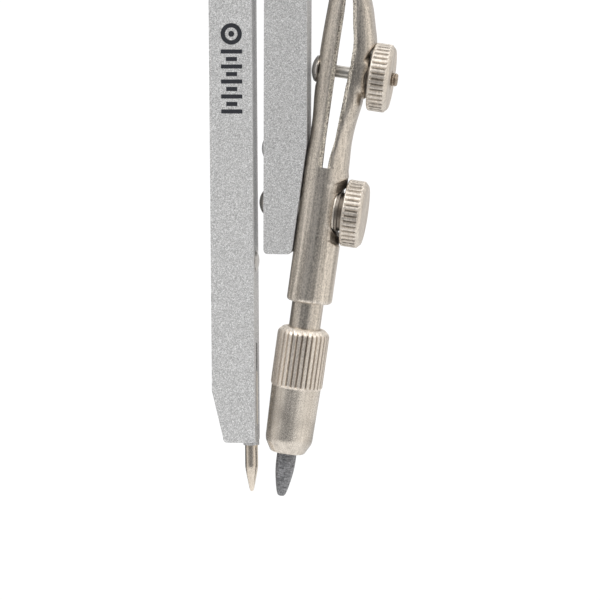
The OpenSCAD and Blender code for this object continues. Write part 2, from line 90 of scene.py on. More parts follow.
INSERT = frame_matrix(joint("insert_turn")["pos_m"], joint("insert_turn")["axis"])
DOWN_LEG = Vector(joint("needle_pull")["axis"]).normalized()
LEAN = math.atan2(DOWN_LEG.x, -DOWN_LEG.z)
NEEDLE_LEG_X = (math.cos(LEAN), 0, math.sin(LEAN))
NEEDLE_LEG = frame_matrix(joint("needle_leg_hinge")["pos_m"], NEEDLE_LEG_X)
HANDLE = Matrix.Identity(4)


# ---------------------------------------------------------------- mesh helpers, in millimetres

ON_AXIS = 1e-6          # a radius below this is a point on the axis


def smoothstep(low, high, value):
    """Rises smoothly from 0 at low to 1 at high."""
    t = min(1.0, max(0.0, (value - low) / (high - low)))
    return t * t * (3 - 2 * t)


def mix(a, b, t):
    return a + (b - a) * t


def rounded(points, radius, steps=4, closed=False):
    """A polyline with its corners rounded off, each by at most the given radius."""
    out = []
    count = len(points)
    for i, p in enumerate(points):
        if not closed and i in (0, count - 1):
            out.append(tuple(p))
            continue
        here = Vector(p)
        back = Vector(points[i - 1]) - here
        ahead = Vector(points[(i + 1) % count]) - here
        reach = min(radius, back.length * 0.45, ahead.length * 0.45)
        start = here + back.normalized() * reach
        end = here + ahead.normalized() * reach
        for k in range(steps + 1):
            t = k / steps
            out.append(tuple(start * (1 - t) ** 2 + here * (2 * t * (1 - t)) + end * t * t))
    return out


def make_object(name, verts, faces, matrix, sharp_angle):
    """An object from points in millimetres. Edges over sharp_angle degrees stay sharp."""
    mesh = bpy.data.meshes.new(name)
    mesh.from_pydata([Vector(v) * MM for v in verts], [], faces)
    mesh.validate()
    mesh.shade_smooth()
    mesh.set_sharp_from_angle(angle=math.radians(sharp_angle))
    mesh.update()
    obj = bpy.data.objects.new(name, mesh)
    bpy.context.scene.collection.objects.link(obj)
    obj.matrix_world = matrix
    return obj


def lathe(name, profile, matrix, segments=96, wave=None, closed=False, along_x=False, sharp_angle=40):
    """Turns a profile of (radius, height) about Z, or about X where along_x is set.

    wave(angle, height, radius) gives a point's new radius. A closed profile makes a ring."""
    verts = []
    rings = []
    for r, h in profile:
        if r < ON_AXIS:
            rings.append([len(verts)])
            verts.append((0, 0, h))
            continue
        ring = []
        for k in range(segments):
            angle = 2 * math.pi * k / segments
            radius = wave(angle, h, r) if wave else r
            ring.append(len(verts))
            verts.append((radius * math.cos(angle), radius * math.sin(angle), h))
        rings.append(ring)
    faces = []
    pairs = list(zip(rings, rings[1:]))
    if closed:
        pairs.append((rings[-1], rings[0]))
    for low, high in pairs:
        for k in range(segments):
            n = (k + 1) % segments
            if len(low) == 1 and len(high) == 1:
                continue
            if len(low) == 1:
                faces.append((low[0], high[n], high[k]))
            elif len(high) == 1:
                faces.append((low[k], low[n], high[0]))
            else:
                faces.append((low[k], low[n], high[n], high[k]))
    if along_x:
        verts = [(z, y, -x) for x, y, z in verts]
    return make_object(name, verts, faces, matrix, sharp_angle)


def moved(matrix, x=0.0, y=0.0, z=0.0):
    """The same frame, shifted along its own axes."""
    return matrix @ Matrix.Translation(Vector((x, y, z)) * MM)


# ---------------------------------------------------------------- materials

class Nodes:
    """Short forms for building one material's nodes. Scales are per metre, distances in metres."""

    def __init__(self, name):
        self.material = bpy.data.materials.new(name)
        self.material.use_nodes = True
        self.tree = self.material.node_tree
        self.shader = self.tree.nodes["Principled BSDF"]
        self.coords = self.tree.nodes.new("ShaderNodeTexCoord").outputs["Object"]

    def link(self, source, target):
        self.tree.links.new(source, target)

    def scaled(self, scale):
        node = self.tree.nodes.new("ShaderNodeMapping")
        node.inputs["Scale"].default_value = scale
        self.link(self.coords, node.inputs["Vector"])
        return node.outputs["Vector"]

    def noise(self, scale, detail, vector=None, roughness=0.5):
        node = self.tree.nodes.new("ShaderNodeTexNoise")
        node.inputs["Scale"].default_value = scale
        node.inputs["Detail"].default_value = detail
        node.inputs["Roughness"].default_value = roughness
        self.link(vector or self.coords, node.inputs["Vector"])
        return node.outputs["Fac"]

    def cells(self, scale):
        node = self.tree.nodes.new("ShaderNodeTexVoronoi")
        node.inputs["Scale"].default_value = scale
        self.link(self.coords, node.inputs["Vector"])
        return node

    def ramp(self, source, stops):
        node = self.tree.nodes.new("ShaderNodeValToRGB")
        elements = node.color_ramp.elements
        while len(elements) < len(stops):
            elements.new(0.5)
        for element, (position, color) in zip(elements, stops):
            element.position = position
            element.color = (*color, 1.0)
        self.link(source, node.inputs["Fac"])
        return node.outputs["Color"]

    def mix_color(self, factor, a, b):
        node = self.tree.nodes.new("ShaderNodeMix")
        node.data_type = "RGBA"
        for value, socket in ((factor, node.inputs[0]), (a, node.inputs[6]), (b, node.inputs[7])):
            if hasattr(value, "links"):
                self.link(value, socket)
            elif isinstance(value, (int, float)):
                socket.default_value = value
            else:
                socket.default_value = (*value, 1.0)
        return node.outputs[2]

    def span(self, source, low, high):
        node = self.tree.nodes.new("ShaderNodeMapRange")
        node.inputs["To Min"].default_value = low
        node.inputs["To Max"].default_value = high
        self.link(source, node.inputs["Value"])
        return node.outputs["Result"]

    def bump(self, source, distance, strength, normal=None):
        node = self.tree.nodes.new("ShaderNodeBump")
        node.inputs["Distance"].default_value = distance
        node.inputs["Strength"].default_value = strength
        self.link(source, node.inputs["Height"])
        if normal is not None:
            self.link(normal, node.inputs["Normal"])
        return node.outputs["Normal"]

    def set(self, **values):
        for name, value in values.items():
            socket = self.shader.inputs[name.replace("_", " ")]
            if hasattr(value, "links"):
                self.link(value, socket)
            else:
                socket.default_value = value


def silver_paint(name, level):
    """Silver metallic paint of a given lightness: fine aluminium flakes, with an orange-peel surface."""
    n = Nodes(name)
    flakes = n.cells(12500)
    grain = n.noise(11000, 3.0, roughness=0.7)
    patch = n.noise(160, 2.0)
    tone = n.mix_color(0.3, flakes.outputs["Color"], grain)
    shades = [(0.15, 0.25), (0.5, 0.53), (0.85, 0.92)]
    tone = n.ramp(tone, [(position, [shade * level] * 3) for position, shade in shades])
    middle = [shade * level for shade in (0.53, 0.525, 0.515)]
    tone = n.mix_color(n.span(patch, 0.0, 0.2), tone, middle)
    n.set(Base_Color=tone, Metallic=0.25)
    n.set(Roughness=n.span(grain, 0.42, 0.62))
    normal = n.bump(grain, 0.000012, 0.8)
    normal = n.bump(n.noise(700, 2.0), 0.00002, 0.1, normal)
    n.set(Normal=normal)
    return n.material


def plated(name, dark, light, rough, streaks=0.5, speckle=0.5, contrast=0.10, stain=0.0):
    """Nickel plate over drawn or turned metal, with fine streaks along the piece, small pits and stains.

    A small contrast gives hard steps between the dark and the light tone."""
    n = Nodes(name)
    streak = n.noise(1.0, 3.0, n.scaled((2600, 2600, 90)), 0.6)
    pit = n.noise(1.0, 3.0, n.scaled((8500, 8500, 5000)), 0.75)
    cloud = n.noise(260, 3.0)
    tone = n.ramp(n.mix_color(0.6, streak, pit), [(0.5 - contrast, dark), (0.5 + contrast, light)])
    middle = [(a + b) / 2 * 0.95 for a, b in zip(dark, light)]
    tone = n.mix_color(n.span(cloud, 0.0, 0.35), tone, middle)
    if stain:
        patch = n.ramp(n.noise(190, 3.0), [(0.46, (0, 0, 0)), (0.62, (stain, stain, stain))])
        tone = n.mix_color(patch, tone, [a * 0.8 for a in dark])
    n.set(Base_Color=tone, Metallic=1.0)
    n.set(Roughness=n.span(n.mix_color(0.5, cloud, pit), rough * 0.75, rough * 1.3))
    normal = n.bump(pit, 0.000022 * speckle, 1.0)
    normal = n.bump(streak, 0.000016 * streaks, 1.0, normal)
    n.set(Normal=normal)
    return n.material


def graphite():
    """A sharpened lead: dull grey with a soft sheen, scratched across by the sharpener."""
    n = Nodes("graphite")
    grain = n.noise(5000, 4.0, roughness=0.7)
    scratch = n.noise(1.0, 3.0, n.scaled((1500, 1500, 9000)), 0.6)
    shades = [(0.4, (0.07, 0.071, 0.075)), (0.6, (0.34, 0.34, 0.35))]
    tone = n.ramp(n.mix_color(0.5, grain, scratch), shades)
    n.set(Base_Color=tone, Metallic=0.55)
    n.set(Roughness=n.span(grain, 0.42, 0.62))
    n.set(Normal=n.bump(scratch, 0.00002, 1.0, n.bump(grain, 0.00002, 1.0)))
    return n.material


def print_ink():
    """Screen-printed dark ink, a little broken by the paint's grain under it."""
    n = Nodes("print_ink")
    grain = n.noise(5500, 3.0, roughness=0.7)
    n.set(Base_Color=n.ramp(grain, [(0.35, (0.008, 0.009, 0.014)), (0.7, (0.024, 0.026, 0.033))]))
    n.set(Roughness=n.span(grain, 0.45, 0.65))
    n.set(Normal=n.bump(grain, 0.00001, 0.8))
    return n.material


NICKEL_DARK = (0.30, 0.27, 0.235)
NICKEL_LIGHT = (0.86, 0.79, 0.70)

PAINT = silver_paint("silver_paint", 1.0)
# The lead leg's paint is the same silver paint made darker: painted shade, as that leg stands less in the
# light.
PAINT_SHADED_LEAD_LEG = silver_paint("silver_paint_shaded_lead_leg", 0.91)
NICKEL = plated("nickel", NICKEL_DARK, NICKEL_LIGHT, 0.30, speckle=1.2)
NICKEL_KNURL = plated("nickel_knurl", (0.44, 0.40, 0.355), (0.80, 0.735, 0.655), 0.46, streaks=0.2)
NICKEL_CAP = plated("nickel_cap", (0.50, 0.455, 0.405), (0.90, 0.825, 0.735), 0.46, streaks=0.2)
NICKEL_NOSE = plated("nickel_nose", (0.38, 0.345, 0.305), NICKEL_LIGHT, 0.26,
                     streaks=0.3, speckle=1.0, contrast=0.15, stain=0.6)
NICKEL_PLAIN = plated("nickel_plain", (0.50, 0.46, 0.41), (0.66, 0.61, 0.545), 0.30,
                      streaks=0.3, speckle=0.6, contrast=0.25)
NICKEL_BRIGHT = plated("nickel_bright", (0.52, 0.50, 0.48), (0.66, 0.64, 0.61), 0.12,
                       streaks=0.1, speckle=0.2)
# Dark nickel for the bottoms of the knurls' grooves: painted shade, where the grooves lie in shadow.
NICKEL_GROOVE_SHADE = plated("nickel_groove_shade", (0.12, 0.105, 0.09), (0.34, 0.305, 0.27), 0.45)
# Darker nickel used as painted shade: on the thumb nuts' hubs and in the crescents round the clamp dimple.
NICKEL_SHADE = plated("nickel_shade", (0.16, 0.14, 0.12), (0.30, 0.265, 0.23), 0.40)
THREAD = plated("worn_thread", (0.10, 0.085, 0.07), (0.72, 0.60, 0.48), 0.45, speckle=4.0)
STEEL = plated("steel", (0.52, 0.49, 0.45), (0.68, 0.65, 0.60), 0.36)
NEEDLE_STEEL = plated("needle_steel", (0.50, 0.44, 0.37), (0.80, 0.72, 0.62), 0.20,
                      streaks=0.6, speckle=0.6)
SHEARED = plated("sheared_edge", (0.05, 0.045, 0.04), (0.95, 0.88, 0.77), 0.45,
                 streaks=2.0, speckle=4.0, contrast=0.08)
GRAPHITE = graphite()
INK = print_ink()


def finish_piece(obj, material, body, slot, *nodes):
    """Gives a piece its material, its body, and the CAD nodes that it stands for. Its slot is not used."""
    obj.data.materials.clear()
    obj.data.materials.append(material)
    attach(obj, body)
    if nodes:
        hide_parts(*nodes)


# ---------------------------------------------------------------- CAD nodes that stay

EDGE_SEGMENTS = 3
EDGE_ANGLE = math.radians(40)

# The bevel's width is in millimetres. The rivets and the collet keep the edges that they have.
CAD_LOOKS = [
    ("needle_leg", PAINT, 0.14),
    # The lead leg and its rivet take the darker copy of the paint, which is painted shade.
    ("lead_leg", PAINT_SHADED_LEAD_LEG, 0.14),
    ("yoke", NICKEL_PLAIN, 0.15),
    ("handle_stem", STEEL, 0.1),
    ("handle_nut", NICKEL_PLAIN, 0.1),
    ("left_pivot_screw", NICKEL_BRIGHT, 0.06),
    ("right_pivot_screw", NICKEL_BRIGHT, 0.06),
    ("pivot_nuts", NICKEL_PLAIN, 0.08),
    ("friction_washers", STEEL, 0.04),
    ("pen_washer", NICKEL, 0.04),
    ("collet", STEEL, 0.0),
    ("needle_stop_rivet", NICKEL_BRIGHT, 0.0),
    ("lead_leg_rivet", PAINT_SHADED_LEAD_LEG, 0.0),
]


def dress(node, material, bevel):
    """A CAD node whose shape is right: its own material, and its edges softly broken."""
    obj = frame["nodes"][node]
    obj.data.materials.clear()
    obj.data.materials.append(material)
    if bevel:
        modifier = obj.modifiers.new("edge", "BEVEL")
        modifier.width = bevel * MM
        modifier.segments = EDGE_SEGMENTS
        modifier.limit_method = "ANGLE"
        modifier.angle_limit = EDGE_ANGLE
        modifier.harden_normals = True


def dress_cad():
    for node, material, bevel in CAD_LOOKS:
        dress(node, material, bevel)


# ---------------------------------------------------------------- rolled insert: tube and pen blades

TUBE_R = 2.55           # outside radius of the tube
WALL = 0.55             # thickness of the sheet
FLAT = 2.25             # from the axis to the pressed flat, which lies on the lead leg
TUBE_LOW = -10.1        # the tube's lower end
RIM_R = 0.4             # rounding of the rim at that end
RIM_INSET = 0.83        # how far the rim is turned in
OVAL = 0.925            # how much flatter the tube is on the nuts' side, up at the slot

SLOT_LOW = 4.6          # the slot's lower end, where the tube parts into two blades
SLOT_LEFT = -0.27       # the slot's two edges
SLOT_RIGHT = 0.45
SLOT_SKEW = 0.7         # how much further back the slot's rear edge lies
SLOT_BLEND = 3.5        # height over which a blade leaves the tube's round section
PEN_TIP = 31.45         # the blades' points

DIMPLE_R = 2.62         # dimple under the clamp nut
DIMPLE_SLOPE = 0.1
DIMPLE_FLOOR = 1.55
DIMPLE_EDGE = 0.1       # how far past its radius either dimple runs out
CRESCENT_R = 3.6        # shallow ring round that dimple, dark with painted shade in its crescents
CRESCENT_DEPTH = 0.1
CRESCENT_EDGE = 0.2

PEN_SCREW_Z = 14.85
PEN_DIMPLE_R = 3.3      # dimple under the pen nut
PEN_DIMPLE_SLOPE = 1.1
PEN_DIMPLE_FLOOR = 2.6
PEN_LIP_R = 1.98        # lip round the pen washer's seat
PEN_LIP_CREST = 3.12
PEN_LIP_RISE = 0.3
PEN_FLAT_R = 1.5        # flat under the pen screw's head

EDGE_BEVEL = 0.42       # width of the sheared edge down each side of a blade
BEVEL_SHARE = 0.6       # share of that width by which the edge itself moves inwards
BOWED_SQUARE = 0.4      # how much squarer than an ellipse the bowed blade's section is
SQUARE_RISE = (7, 12)   # heights over which it becomes squarer, and round again
SQUARE_FALL = (23, 28)

# Each row is a station of a blade: its height, outer face, inner edge and half width.
BOWED = [
    (SLOT_LOW, 2.36, SLOT_RIGHT, 2.5), (5.55, 2.26, 0.55, 2.48), (7.35, 2.27, 0.70, 2.46),
    (9.45, 2.42, 0.82, 2.42), (11.65, 2.75, 0.95, 2.42), (14.55, 3.15, 1.1, 2.4),
    (16.55, 3.42, 1.24, 2.36), (18.35, 3.44, 1.22, 2.3), (20.35, 2.98, 0.86, 2.2),
    (22.25, 2.46, 0.56, 2.05), (25.2, 1.3, -0.1, 1.6), (28.3, 0.05, -0.75, 0.95),
    (PEN_TIP, -1.0, -1.28, 0.4),
]
STRAIGHT = [
    (SLOT_LOW, -FLAT, SLOT_LEFT, 2.53), (9.55, -FLAT, SLOT_LEFT, 2.48), (12.55, -2.43, SLOT_LEFT, 2.42),
    (17.55, -2.43, SLOT_LEFT, 2.35), (22.45, -2.24, SLOT_LEFT, 2.05), (25.2, -2.1, -0.6, 1.6),
    (28.3, -1.86, -1.05, 0.95), (PEN_TIP, -1.75, -1.5, 0.4),
]


def station(stations, z):
    """A blade's outer face, inner edge and half width at a height, by a curve through its stations."""
    count = len(stations)
    i = max(k for k in range(count - 1) if stations[k][0] <= z + 1e-9)
    a, b = stations[i], stations[i + 1]
    before = stations[max(0, i - 1)]
    after = stations[min(count - 1, i + 2)]
    h = b[0] - a[0]
    t = (z - a[0]) / h
    out = []
    for k in (1, 2, 3):
        slope_a = (b[k] - before[k]) / (b[0] - before[0])
        slope_b = (after[k] - a[k]) / (after[0] - a[0])
        out.append((2 * t ** 3 - 3 * t ** 2 + 1) * a[k] + (t ** 3 - 2 * t ** 2 + t) * h * slope_a
                   + (-2 * t ** 3 + 3 * t ** 2) * b[k] + (t ** 3 - t ** 2) * h * slope_b)
    return out


def soft_min(a, b, width):
    """The smaller of two values, with the corner between them rounded over width."""
    h = max(width - abs(a - b), 0.0) / width
    return min(a, b) - h * h * width / 4


def press(point, centre_z, radius, slope, floor):
    """Presses a round dimple with a sloping side into the sheet, from the +X side."""
    x, y, z = point
    inside = 1 - smoothstep(radius - slope, radius + DIMPLE_EDGE, math.hypot(y, z - centre_z))
    return (mix(x, min(x, floor), inside), y, z)


def pen_lip(point, plain_x, inset):
    """The metal pushed up into a low lip round the pen washer's seat, on the nuts' side only."""
    x, y, z = point
    r = math.hypot(y, z - PEN_SCREW_Z)
    inner = smoothstep(PEN_LIP_R, PEN_LIP_R + 0.22, r)
    outer = 1 - smoothstep(PEN_LIP_R + 0.35, PEN_LIP_R + 0.8, r)
    nut_side = smoothstep(0.8, 1.6, plain_x)
    raised = max(x, min(PEN_LIP_CREST - inset, plain_x + PEN_LIP_RISE))
    return (mix(x, raised, inner * outer * nut_side), y, z)


def tube_point(angle, z, inset):
    """A point of the tube, inset into the sheet: round, with its flat, its dimple and the shallow ring."""
    r = TUBE_R - inset
    x = r * math.cos(angle)
    y = r * math.sin(angle)
    if x < 0:
        x = -soft_min(-x, FLAT - inset, 0.25)
    else:
        x *= mix(1, OVAL, smoothstep(SLOT_LOW - 1.2, SLOT_LOW, z))
    if x > 0.5:
        r = math.hypot(y, z)
        ring = smoothstep(DIMPLE_R, DIMPLE_R + CRESCENT_EDGE, r)
        ring *= 1 - smoothstep(CRESCENT_R, CRESCENT_R + CRESCENT_EDGE, r)
        x -= CRESCENT_DEPTH * ring
    return press((x, y, z), 0, DIMPLE_R + inset, DIMPLE_SLOPE, DIMPLE_FLOOR - inset)


def blade_stations(side):
    """The bowed blade is on side 1 and the straight one on side -1."""
    return BOWED if side > 0 else STRAIGHT


def blade_point(side, s, z, inset):
    """A point of a blade's section: s runs from -1 to 1 across it, inset is the depth into the sheet."""
    outer, edge, half = station(blade_stations(side), z)
    thin = min(inset, abs(outer - edge) * 0.45, half * 0.45)
    outer -= side * thin
    half -= thin
    a = s * math.pi / 2
    power = 1
    if side < 0:
        edge -= min(SLOT_SKEW, (edge - outer) * 0.35) * (1 + math.sin(a)) / 2
    else:
        power -= BOWED_SQUARE * smoothstep(*SQUARE_RISE, z) * (1 - smoothstep(*SQUARE_FALL, z))
    x = edge + (outer - edge) * abs(math.cos(a)) ** power
    y = half * math.copysign(abs(math.sin(a)) ** power, a)
    round_x, round_y = tube_arc(side, s, z, inset)
    t = smoothstep(SLOT_LOW, SLOT_LOW + SLOT_BLEND, z)
    x = mix(round_x, x, t)
    y = mix(round_y, y, t)
    if side > 0:
        floor = PEN_DIMPLE_FLOOR - inset
        pressed = press((x, y, z), PEN_SCREW_Z, PEN_DIMPLE_R + inset, PEN_DIMPLE_SLOPE, floor)
        return pen_lip(pressed, x, inset)
    inside = 1 - smoothstep(PEN_FLAT_R, PEN_FLAT_R + 0.3, math.hypot(y, z - PEN_SCREW_Z))
    return (mix(x, max(x, -FLAT + inset), inside), y, z)


def slot_angle(side, s):
    """How far round the tube a blade reaches at the slot's lower end."""
    edge = SLOT_RIGHT if side > 0 else SLOT_LEFT - (SLOT_SKEW if s > 0 else 0)
    return math.acos(abs(edge) / TUBE_R)


def tube_arc(side, s, z, inset):
    """The point of the tube that continues a blade downwards."""
    angle = s * slot_angle(side, s)
    if side < 0:
        angle = math.pi - angle
    return tube_point(angle, min(z, SLOT_LOW), inset)[:2]


def blade_object(name, side, z_rows, columns):
    """A closed blade: its outer skin, its inner skin, and a bevelled strip down each long edge."""
    verts = []
    rows = []
    for z in z_rows:
        half = station(blade_stations(side), z)[2]
        bevel = EDGE_BEVEL * smoothstep(SLOT_LOW - 0.01, SLOT_LOW + 0.25, z) * min(1, half / 1.6)
        across = [-1 + 2 * i / columns for i in range(columns + 1)]
        ring = [blade_point(side, s, z, 0) for s in across]
        ring += [blade_point(side, s, z, WALL) for s in reversed(across)]
        for end, beside, inward in ((0, 1, 1), (columns, columns - 1, -1)):
            x, y, _ = ring[end]
            ring[end] = (x, y + inward * bevel * BEVEL_SHARE, z)
            ring[beside] = (x + side * bevel, mix(ring[beside][1], y, 0.6), z)
        rows.append([len(verts) + k for k in range(len(ring))])
        verts.extend(ring)
    faces = []
    n = len(rows[0])
    for low, high in zip(rows, rows[1:]):
        for i in range(n):
            j = (i + 1) % n
            faces.append((low[i], low[j], high[j], high[i]))
    for row, flip in ((rows[0], True), (rows[-1], False)):
        for i in range(columns):
            quad = (row[i], row[i + 1], row[n - 2 - i], row[n - 1 - i])
            faces.append(quad[::-1] if flip else quad)
    if side < 0:
        faces = [f[::-1] for f in faces]
    blade = make_object(name, verts, faces, INSERT, sharp_angle=32)
    for material in (NICKEL, SHEARED):
        blade.data.materials.append(material)
    strip = {0, columns - 1, columns, 2 * columns + 1}
    for i, polygon in enumerate(blade.data.polygons):
        if i < n * (len(rows) - 1) and i % n in strip:
            polygon.material_index = 1
    return blade


def tube_object(name):
    """The rolled tube, from its turned-in rim up to the slot."""
    segments = 220
    step = 0.1
    corner = TUBE_LOW + RIM_R
    outer = [(0.0, SLOT_LOW - i * step) for i in range(int((SLOT_LOW - corner) / step) + 1)]
    rim = []
    for k in range(1, 6):
        a = math.pi / 2 * k / 5
        rim.append((RIM_R - RIM_R * math.cos(a), corner - RIM_R * math.sin(a)))
    inner = [(RIM_INSET, TUBE_LOW), (RIM_INSET, TUBE_LOW + 0.8), (WALL, TUBE_LOW + 1.1), (WALL, SLOT_LOW)]
    verts = []
    rings = []
    for inset, z in outer + rim + inner:
        ring = []
        for k in range(segments):
            ring.append(len(verts))
            x, y, _ = tube_point(2 * math.pi * (k + 0.5) / segments, z, inset)
            verts.append((x, y, rear_slot_edge(x, y, z)))
        rings.append(ring)
    faces = []
    for low, high in zip(rings, rings[1:] + rings[:1]):
        for k in range(segments):
            n = (k + 1) % segments
            faces.append((low[k], high[k], high[n], low[n]))
    tube = make_object(name, verts, faces, INSERT, sharp_angle=40)
    for material in (NICKEL, NICKEL_SHADE):
        tube.data.materials.append(material)
    # The ring is painted dark only in the two crescents above and below the dimple: painted shade, where
    # the nut shades it.
    for polygon in tube.data.polygons:
        x, y, z = polygon.center / MM
        if x > 1.6 and abs(z) > 2.1 and 2.55 < math.hypot(y, z) < CRESCENT_R:
            polygon.material_index = 1
    return tube


def rear_slot_edge(x, y, z):
    """Lowers the tube's upper end between the blades, at the back."""
    low = SLOT_LOW - 1
    at_slot = y > 1 and z > low and SLOT_LEFT - SLOT_SKEW < x < SLOT_RIGHT
    return mix(z, low, 0.6) if at_slot else z


def rows_between(low, high, step):
    """Heights from low to high, about a step apart."""
    count = max(1, round((high - low) / step))
    return [low + (high - low) * i / count for i in range(count + 1)]


def build_insert():
    tube = tube_object("rolled_tube")
    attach(tube, "insert")
    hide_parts("insert_tube")
    straight = blade_object("pen_straight_blade", -1, rows_between(SLOT_LOW, PEN_TIP, 0.2), 40)
    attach(straight, "insert")
    bowed = blade_object("pen_bowed_blade", 1, rows_between(SLOT_LOW, PEN_TIP, 0.1), 56)
    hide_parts("bowed_blade")
    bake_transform(bowed)


# ---------------------------------------------------------------- nuts and screws

NUT_T = 2.15            # thickness of both nuts' rims
NUT_TEETH = 38
KNURL_DEPTH = 0.2
GROOVE_BOTTOM = 0.97    # how near to a groove's middle the painted groove shade begins, where 1 is the middle

CLAMP_BOLT_R = 1.2
CLAMP_BOLT_END = 4.62
LEG_FACE_X = -5.68      # the lead leg's far side, where the clamp bolt's head sits
BLADE_FACE_X = -2.27    # the straight blade's far side, where the pen screw's head sits
PEN_SCREW_R = 0.65
THREAD_LOW = 3.0        # where the pen screw's thread begins and ends
THREAD_HIGH = 6.0
THREAD_R = 0.72
THREAD_PITCH = 0.3
THREAD_DEPTH = 0.11


def groove(angle, count, start=0.66):
    """From 0 on a knurl's flat crest to 1 at the bottom of its groove. A higher start makes it narrower."""
    return smoothstep(start, 1.0, abs(math.sin(count * angle / 2)))


def nut_profile(rim_x, radius, bore, blind):
    """A nut's rim from rim_x outwards. A blind nut has a closed outer face."""
    face = rim_x + NUT_T
    chamfer = 0.14
    outer = [(bore, rim_x), (radius - chamfer, rim_x), (radius, rim_x + chamfer), (radius, face - 0.4),
             (radius - 0.42, face), (0 if blind else bore, face)]
    if blind:
        cap = 0.25
        outer += [(0, face - cap), (bore, face - cap)]
    return rounded(outer, 0.09, 3, closed=not blind)


def refined(profile, step, wanted):
    """A closed profile with the stretches that wanted(start, end) picks cut up about every step."""
    dense = []
    for start, end in zip(profile, profile[1:] + profile[:1]):
        parts = max(1, int(abs(end[1] - start[1]) / step)) if wanted(start, end) else 1
        for k in range(parts):
            dense.append((mix(start[0], end[0], k / parts), mix(start[1], end[1], k / parts)))
    return dense


def paint_groove_shade(obj, count, low, high, min_radius, along_x=False):
    """Gives the bottoms of a knurl's grooves the dark material in the second slot: painted shade for the
    shadow in the grooves.
    """
    for polygon in obj.data.polygons:
        x, y, z = polygon.center / MM
        if along_x:
            x, z = -z, x
        deep = abs(math.sin(count * math.atan2(y, x) / 2)) > GROOVE_BOTTOM
        if deep and low < z < high and math.hypot(x, y) > min_radius:
            polygon.material_index = 1


def knurled_nut(name, matrix, body, hub_x, rim_x, radius, neck_r, bore, blind):
    """A thumb nut: a hub with a narrow neck from hub_x, and a knurled rim from rim_x."""
    shoulder = mix(hub_x, rim_x, 0.35)
    seat_r = neck_r + 0.45
    overlap = 0.05
    hub = [(bore, hub_x), (seat_r, hub_x), (seat_r, shoulder), (neck_r, shoulder),
           (neck_r, rim_x + overlap), (bore, rim_x + overlap)]
    hub = lathe(name + "_hub", rounded(hub, 0.05, 2, closed=True), matrix, closed=True, along_x=True)
    # The whole hub takes nickel_shade: painted shade on its seat and neck, which sit in the hollow under
    # the nut's rim.
    finish_piece(hub, NICKEL_SHADE, body, "nickel")

    def wave(angle, h, r):
        along = (h - rim_x) / NUT_T
        band = smoothstep(0.07, 0.15, along) * (1 - smoothstep(0.76, 0.86, along))
        band *= smoothstep(radius - 0.5, radius - 0.1, r)
        return r - KNURL_DEPTH * band * groove(angle, NUT_TEETH)

    rim = refined(nut_profile(rim_x, radius, bore, blind), 0.12,
                  lambda start, end: min(start[0], end[0]) > radius - 0.5)
    nut = lathe(name, rim, matrix, segments=NUT_TEETH * 12, wave=wave, closed=True, along_x=True)
    finish_piece(nut, NICKEL_KNURL, body, "nickel", body)
    # Painted shade in the bottoms of the knurl's grooves.
    nut.data.materials.append(NICKEL_GROOVE_SHADE)
    paint_groove_shade(nut, NUT_TEETH, rim_x + 0.15 * NUT_T, rim_x + 0.8 * NUT_T, radius - 0.5, along_x=True)


def dome_profile(radius, rim, rise):
    """A domed head standing on h = 0, a little undercut below its rim."""
    under = 0.12
    steps = 12
    points = [(0, 0), (radius - under, 0), (radius, under)]
    ball = (radius * radius + rise * rise) / (2 * rise)
    top = math.asin(min(1, radius / ball))
    for k in range(1, steps + 1):
        a = top * (1 - k / steps)
        points.append((ball * math.sin(a), rim + rise - ball + ball * math.cos(a)))
    points[-1] = (0, rim + rise)
    return points


def flipped_x(matrix):
    """The same frame with its X the other way."""
    return matrix @ Matrix.Rotation(math.pi, 4, "Z")


def build_clamp():
    knurled_nut("clamp_thumb_nut", INSERT, "clamp_nut", hub_x=1.79, rim_x=2.6, radius=3.6, neck_r=2.05,
                bore=1.23, blind=True)
    ring = rounded([(1.25, 1.56), (2.5, 1.56), (2.5, 1.76), (1.25, 1.76)], 0.05, 2, closed=True)
    washer = lathe("clamp_seat_washer", ring, INSERT, closed=True, along_x=True)
    finish_piece(washer, NICKEL_KNURL, "clamp_washer", "nickel", "clamp_washer")
    chamfer = 0.2
    bolt = [(0, LEG_FACE_X), (CLAMP_BOLT_R, LEG_FACE_X), (CLAMP_BOLT_R, CLAMP_BOLT_END - chamfer),
            (CLAMP_BOLT_R - chamfer, CLAMP_BOLT_END), (0, CLAMP_BOLT_END)]
    shank = lathe("clamp_bolt_shank", rounded(bolt, 0.05), INSERT, along_x=True)
    finish_piece(shank, STEEL, "lead_arm", "dark_nickel")
    at = flipped_x(moved(INSERT, x=LEG_FACE_X))
    head = lathe("clamp_bolt_head", dome_profile(1.5, 0.35, 0.68), at, along_x=True)
    finish_piece(head, NICKEL_BRIGHT, "lead_arm", "dark_nickel", "clamp_bolt")


def thread(low, high):
    """The worn thread's outline, as rings."""
    points = []
    count = int((high - low) / THREAD_PITCH)
    for k in range(count):
        z = low + k * THREAD_PITCH
        points += [(THREAD_R, z), (THREAD_R, z + THREAD_PITCH * 0.25),
                   (THREAD_R - THREAD_DEPTH, z + THREAD_PITCH * 0.6)]
    points.append((THREAD_R, low + count * THREAD_PITCH))
    return points


